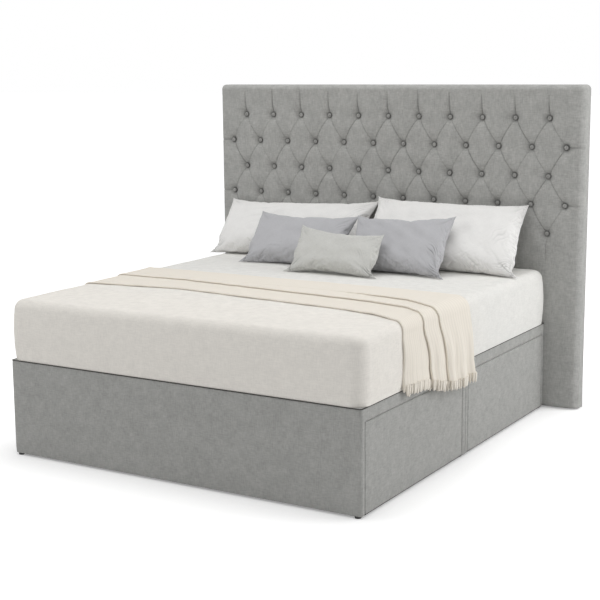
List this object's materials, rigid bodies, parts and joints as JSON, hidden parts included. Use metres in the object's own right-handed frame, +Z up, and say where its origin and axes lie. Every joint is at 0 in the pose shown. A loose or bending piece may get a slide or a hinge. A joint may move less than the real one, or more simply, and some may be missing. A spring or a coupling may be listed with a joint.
{
  "type": "divan bed",
  "caption": "Upholstered divan bed with sliding side drawers, a tall buttoned headboard, a mattress, pillows, cushions and a folded throw.",
  "frame": {"origin": "on the floor, under the centre of the bed with its headboard", "axes": "+X to the bed's right seen from its foot, +Y from foot to headboard, +Z up"},
  "size_m": [2.184, 2.08, 1.66],
  "materials": {
    "base_fabric": "woven grey upholstery",
    "headboard_fabric": "woven grey upholstery, deep buttoned",
    "board": "raw particle board and plywood",
    "timber": "planed softwood",
    "drawer_board": "white foil-wrapped board",
    "deck_cloth": "spun non-woven cloth",
    "runner_plastic": "moulded nylon",
    "zinc_steel": "zinc plated",
    "foam": "open-cell upholstery foam",
    "sheet_cotton": "smooth cotton percale",
    "ticking": "woven mattress ticking",
    "pillow_cotton": "crumpled cotton",
    "cushion_cloth": "soft lavender-grey cloth",
    "small_cushion_cloth": "pale grey cloth",
    "throw_wool": "fine ribbed cream wool"
  },
  "bodies": {
    "root": {"base_corner_posts": "timber", "base_side_rails": "timber", "base_spines": "board", "base_deck_slats": "timber", "base_deck_boards": "board", "base_deck_cloths": "deck_cloth", "base_dust_cloths": "deck_cloth", "base_glides": "runner_plastic", "base_link_plates": "zinc_steel", "base_link_screws": "zinc_steel", "drawer_runners": "runner_plastic", "foot_base_end_boards": "board", "head_base_end_boards": "board", "foot_base_upholstery": "base_fabric", "head_base_upholstery": "base_fabric", "headboard_buttoned_cover": "headboard_fabric", "headboard_foam": "foam", "headboard_panel": "board", "headboard_legs": "timber", "headboard_cross_rails": "timber", "headboard_back_lining": "deck_cloth", "headboard_buttons": "headboard_fabric", "headboard_button_ties": "runner_plastic", "headboard_bolts": "zinc_steel", "headboard_tee_nuts": "zinc_steel", "fitted_sheet": "sheet_cotton", "mattress_ticking": "ticking", "mattress_spring_unit": "foam", "mattress_comfort_layers": "foam", "left_pillow": "pillow_cotton", "right_pillow": "pillow_cotton", "left_cushion": "cushion_cloth", "right_cushion": "cushion_cloth", "small_cushion": "small_cushion_cloth", "throw": "throw_wool"},
    "foot_left_drawer": {"foot_left_drawer_front_board": "board", "foot_left_drawer_front_upholstery": "base_fabric", "foot_left_drawer_box_sides": "drawer_board", "foot_left_drawer_box_back": "drawer_board", "foot_left_drawer_box_bottom": "drawer_board", "foot_left_drawer_slides": "runner_plastic"},
    "foot_right_drawer": {"foot_right_drawer_front_board": "board", "foot_right_drawer_front_upholstery": "base_fabric", "foot_right_drawer_box_sides": "drawer_board", "foot_right_drawer_box_back": "drawer_board", "foot_right_drawer_box_bottom": "drawer_board", "foot_right_drawer_slides": "runner_plastic"},
    "head_left_drawer": {"head_left_drawer_front_board": "board", "head_left_drawer_front_upholstery": "base_fabric", "head_left_drawer_box_sides": "drawer_board", "head_left_drawer_box_back": "drawer_board", "head_left_drawer_box_bottom": "drawer_board", "head_left_drawer_slides": "runner_plastic"},
    "head_right_drawer": {"head_right_drawer_front_board": "board", "head_right_drawer_front_upholstery": "base_fabric", "head_right_drawer_box_sides": "drawer_board", "head_right_drawer_box_back": "drawer_board", "head_right_drawer_box_bottom": "drawer_board", "head_right_drawer_slides": "runner_plastic"}
  },
  "joints": [
    {"name": "foot_left_drawer_slide", "type": "slide", "parent": "root", "child": "foot_left_drawer", "axis": [-1, 0, 0], "range_m": [0, 0.45]},
    {"name": "foot_right_drawer_slide", "type": "slide", "parent": "root", "child": "foot_right_drawer", "axis": [1, 0, 0], "range_m": [0, 0.45]},
    {"name": "head_left_drawer_slide", "type": "slide", "parent": "root", "child": "head_left_drawer", "axis": [-1, 0, 0], "range_m": [0, 0.45]},
    {"name": "head_right_drawer_slide", "type": "slide", "parent": "root", "child": "head_right_drawer", "axis": [1, 0, 0], "range_m": [0, 0.45]}
  ]
}
